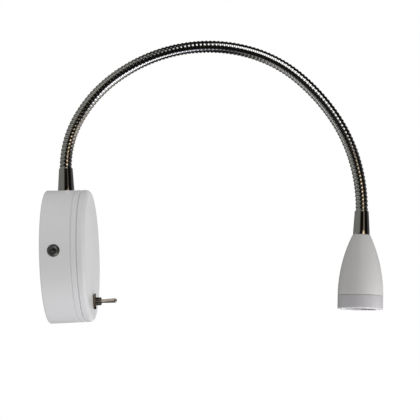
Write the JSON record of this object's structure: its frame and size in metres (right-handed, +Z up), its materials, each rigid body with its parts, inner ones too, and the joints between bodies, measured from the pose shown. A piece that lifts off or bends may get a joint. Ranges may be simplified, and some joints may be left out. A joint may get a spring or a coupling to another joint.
{
  "type": "flexible wall light",
  "caption": "Wall-mounted reading light: a round base with a toggle switch, a ribbed gooseneck that stays where it is bent, and a small bullet-shaped spot head.",
  "frame": {"origin": "centre of the base's wall face, midway between the two wall screws", "axes": "+X out of the wall into the room, +Z up, +Y to the left when facing the wall light from the room"},
  "size_m": [0.1995, 0.0818, 0.169],
  "materials": {
    "white_coat": "satin powder coat",
    "chrome": "polished",
    "nickel": "bright nickel",
    "zinc_steel": "zinc plated",
    "black_plastic": "fine texture",
    "red_plastic": "moulded",
    "cream_plastic": "moulded",
    "grommet_rubber": "soft",
    "brass": "machined",
    "copper_winding": "wound",
    "board_green": "solder mask",
    "board_white": "solder mask on aluminium",
    "aluminium": "turned",
    "clear_lens": "polished acrylic",
    "phosphor": "silicone dome",
    "sleeve_blue": "heat-shrunk sleeve",
    "pvc_brown": "insulation",
    "pvc_blue": "insulation",
    "pvc_white": "insulation"
  },
  "bodies": {
    "base": {"wall_bracket": "zinc_steel", "cable_grommet": "grommet_rubber", "casing": "white_coat", "front_cover": "white_coat", "side_screws": "zinc_steel", "terminal_block": "cream_plastic", "terminal_tubes": "brass", "terminal_screws": "zinc_steel", "earth_screw": "zinc_steel", "driver_case": "black_plastic", "driver_lid": "black_plastic", "driver_board": "board_green", "driver_coil": "copper_winding", "driver_capacitor": "sleeve_blue", "switch_case": "red_plastic", "switch_bushing": "nickel", "switch_pin": "zinc_steel", "switch_back_nut": "zinc_steel", "switch_washer": "nickel", "switch_nut": "nickel", "switch_terminals": "zinc_steel", "live_wire": "pvc_brown", "switched_wire": "pvc_brown", "neutral_wire": "pvc_blue", "base_collar": "chrome", "neck_washer": "zinc_steel", "neck_nut": "zinc_steel", "neck_link_1": "chrome", "led_lead_1": "pvc_white"},
    "neck_2": {"neck_link_2": "chrome", "led_lead_2": "pvc_white"},
    "neck_3": {"neck_link_3": "chrome", "led_lead_3": "pvc_white"},
    "neck_4": {"neck_link_4": "chrome", "led_lead_4": "pvc_white"},
    "neck_5": {"neck_link_5": "chrome", "led_lead_5": "pvc_white"},
    "neck_6": {"neck_link_6": "chrome", "led_lead_6": "pvc_white"},
    "neck_7": {"neck_link_7": "chrome", "led_lead_7": "pvc_white"},
    "neck_8": {"neck_link_8": "chrome", "led_lead_8": "pvc_white"},
    "head": {"neck_link_9": "chrome", "led_lead_9": "pvc_white", "head_collar": "chrome", "head_nut": "zinc_steel", "head_shell": "white_coat", "heat_sink": "aluminium", "led_board": "board_white", "board_screws": "zinc_steel", "led_chip": "phosphor", "lens_holder": "black_plastic", "lens": "clear_lens", "front_ring": "white_coat"},
    "switch_lever": {"switch_lever": "nickel"},
    "switch_rocker": {"switch_rocker": "brass"}
  },
  "joints": [
    {"name": "neck_bend_1", "type": "hinge", "parent": "base", "child": "neck_2", "pos_m": [0.01921, 0, 0.08301], "axis": [0, 1, 0], "range_deg": [-33, 10]},
    {"name": "neck_sway_1", "type": "hinge", "parent": "neck_2", "child": "neck_3", "pos_m": [0.03952, 0, 0.10602], "axis": [0.6032, 0, -0.7976], "range_deg": [-25, 25]},
    {"name": "neck_bend_2", "type": "hinge", "parent": "neck_3", "child": "neck_4", "pos_m": [0.06673, 0, 0.12039], "axis": [0, 1, 0], "range_deg": [-33, 10]},
    {"name": "neck_bend_3", "type": "hinge", "parent": "neck_4", "child": "neck_5", "pos_m": [0.09709, 0, 0.12531], "axis": [0, 1, 0], "range_deg": [-33, 10]},
    {"name": "neck_bend_4", "type": "hinge", "parent": "neck_5", "child": "neck_6", "pos_m": [0.12737, 0, 0.11994], "axis": [0, 1, 0], "range_deg": [-33, 10]},
    {"name": "neck_bend_5", "type": "hinge", "parent": "neck_6", "child": "neck_7", "pos_m": [0.15366, 0, 0.10408], "axis": [0, 1, 0], "range_deg": [-33, 10]},
    {"name": "neck_sway_2", "type": "hinge", "parent": "neck_7", "child": "neck_8", "pos_m": [0.1735, 0, 0.08052], "axis": [-0.8434, 0, -0.5373], "range_deg": [-25, 25]},
    {"name": "neck_bend_6", "type": "hinge", "parent": "neck_8", "child": "head", "pos_m": [0.18568, 0, 0.05226], "axis": [0, 1, 0], "range_deg": [-33, 10]},
    {"name": "switch_toggle", "type": "hinge", "parent": "base", "child": "switch_lever", "pos_m": [0.0278, 0, -0.0275], "axis": [0, 0, 1], "range_deg": [0, 25]},
    {"name": "contact_rock", "type": "hinge", "parent": "base", "child": "switch_rocker", "pos_m": [0.0159, 0, -0.0275], "axis": [0, 0, 1], "range_deg": [-14, 0]}
  ],
  "couplings": [
    {"joint": "contact_rock", "follows": "switch_toggle", "ratio": -0.56}
  ]
}
